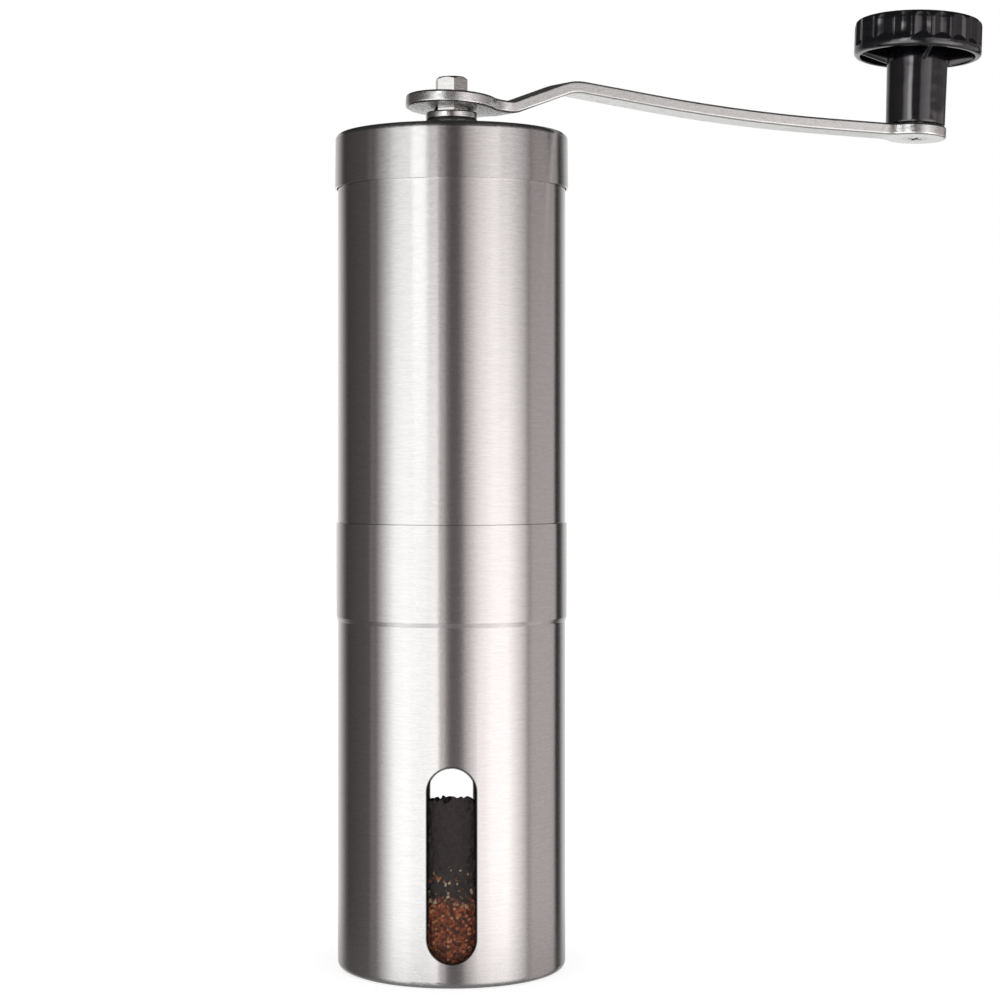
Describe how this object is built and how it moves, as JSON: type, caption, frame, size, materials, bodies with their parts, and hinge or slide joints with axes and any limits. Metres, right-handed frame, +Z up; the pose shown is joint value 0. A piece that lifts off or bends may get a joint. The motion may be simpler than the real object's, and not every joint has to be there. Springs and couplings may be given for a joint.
{
  "type": "hand crank coffee grinder",
  "caption": "Slim steel tube coffee grinder with a ceramic cone burr, a see-through window in its cup and a lift-off crank with a fluted black knob.",
  "frame": {"origin": "centre of the cup's flat base, on the surface it stands on", "axes": "+Z up along the shaft, -Y towards the front window, the crank points towards +X and 12 degrees back"},
  "size_m": [0.1356, 0.0584, 0.1953],
  "materials": {
    "brushed_steel": "fine brushing around the tube",
    "clear_plastic": "clear and glossy",
    "ground_coffee": "coarse dark grounds with reddish and tan flecks",
    "black_plastic": "moulded, fine matt grain",
    "white_nylon": "smooth nylon",
    "ceramic": "fired, lightly rough",
    "turned_steel": "turned and bright",
    "brass": "machined",
    "crank_steel": "tumbled stamped plate with a fine speckle",
    "knob_plastic": "glossy moulding"
  },
  "bodies": {
    "cup": {"cup_shell": "brushed_steel", "cup_liner": "clear_plastic", "ground_coffee": "ground_coffee"},
    "grinder_body": {"upper_tube": "brushed_steel", "top_bridge": "black_plastic", "upper_bush": "white_nylon", "burr_housing": "black_plastic", "lower_bush": "white_nylon", "outer_burr": "ceramic", "burr_lock_ring": "black_plastic"},
    "drive_shaft": {"shaft": "turned_steel", "shaft_clips": "turned_steel", "thrust_washers": "turned_steel"},
    "burr_carriage": {"inner_burr": "ceramic", "burr_carrier": "black_plastic", "burr_spring": "turned_steel"},
    "dial": {"adjust_dial": "black_plastic", "dial_nut": "brass"},
    "lid": {"lid_shell": "brushed_steel", "lid_plug": "black_plastic", "lid_bush": "black_plastic", "lid_ring": "turned_steel"},
    "crank": {"crank_arm": "crank_steel", "knob_screw": "turned_steel", "knob_post": "turned_steel"},
    "crank_knob": {"knob": "knob_plastic", "knob_cap": "knob_plastic"}
  },
  "joints": [
    {"name": "body_lift", "type": "slide", "parent": "cup", "child": "grinder_body", "axis": [0, 0, 1], "range_m": [0, 0.06]},
    {"name": "crank_turn", "type": "hinge", "parent": "grinder_body", "child": "drive_shaft", "pos_m": [0, 0, 0.1], "axis": [0, 0, 1], "continuous": true},
    {"name": "burr_gap", "type": "slide", "parent": "drive_shaft", "child": "burr_carriage", "axis": [0, 0, -1], "range_m": [0, 0.0016], "deforming": ["burr_spring"]},
    {"name": "dial_turn", "type": "hinge", "parent": "burr_carriage", "child": "dial", "pos_m": [0, 0, 0.05819], "axis": [0, 0, -1], "range_deg": [0, 721]},
    {"name": "crank_lift", "type": "slide", "parent": "drive_shaft", "child": "crank", "axis": [0, 0, 1], "range_m": [0, 0.06]},
    {"name": "lid_lift", "type": "slide", "parent": "grinder_body", "child": "lid", "axis": [0, 0, 1], "range_m": [0, 0.03]},
    {"name": "knob_spin", "type": "hinge", "parent": "crank", "child": "crank_knob", "pos_m": [0.09787, 0.02071, 0.17227], "axis": [0.039, 0.0375, 0.9985], "continuous": true}
  ],
  "couplings": [
    {"joint": "dial_turn", "follows": "burr_gap", "rad_per_m": 7854},
    {"joint": "lid_lift", "follows": "crank_lift", "ratio": 0.5}
  ]
}
